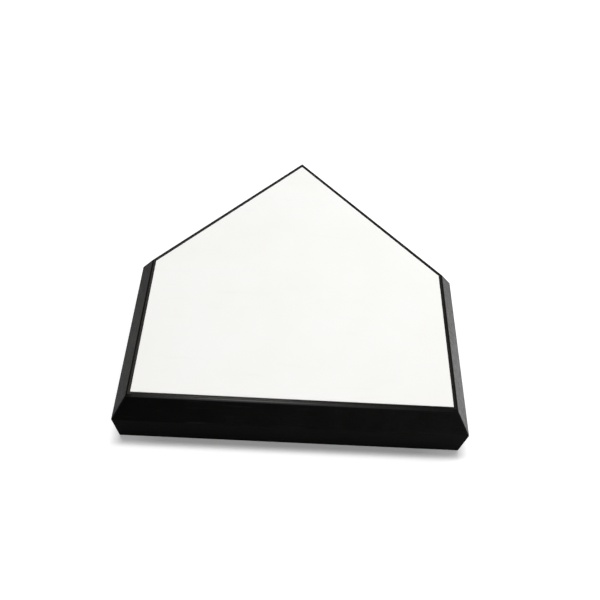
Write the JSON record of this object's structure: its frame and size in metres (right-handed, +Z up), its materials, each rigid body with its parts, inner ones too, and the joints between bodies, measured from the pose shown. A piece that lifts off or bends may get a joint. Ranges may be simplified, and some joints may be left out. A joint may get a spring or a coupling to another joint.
{
  "type": "baseball home plate",
  "caption": "Five-sided baseball home plate with a flat white rubber top in a black bevelled rubber rim, over a screwed plywood core, to be buried flush with the ground.",
  "frame": {"origin": "on the underside, at the middle of the plate's box", "axes": "+Z up out of the white face, +Y from the front edge to the point, +X to the right"},
  "size_m": [0.4858, 0.497, 0.0922],
  "materials": {
    "white_rubber": "matt moulded white rubber",
    "black_rubber": "satin moulded black rubber, slightly dusty",
    "plywood": "sealed exterior plywood",
    "zinc_steel": "zinc-plated steel"
  },
  "bodies": {
    "root": {"white_top": "white_rubber", "bevel_rim": "black_rubber", "bottom_board": "plywood", "second_board": "plywood", "third_board": "plywood", "top_board": "plywood", "core_screw_1": "zinc_steel", "core_screw_2": "zinc_steel", "core_screw_3": "zinc_steel", "core_screw_4": "zinc_steel", "core_screw_5": "zinc_steel", "core_screw_6": "zinc_steel", "core_screw_7": "zinc_steel", "rim_screw_1": "zinc_steel", "rim_screw_2": "zinc_steel", "rim_screw_3": "zinc_steel", "rim_screw_4": "zinc_steel", "rim_screw_5": "zinc_steel", "rim_screw_6": "zinc_steel", "rim_screw_7": "zinc_steel", "rim_screw_8": "zinc_steel", "rim_screw_9": "zinc_steel", "rim_screw_10": "zinc_steel", "rim_screw_11": "zinc_steel", "rim_screw_12": "zinc_steel", "rim_screw_13": "zinc_steel", "rim_screw_14": "zinc_steel"}
  },
  "joints": []
}
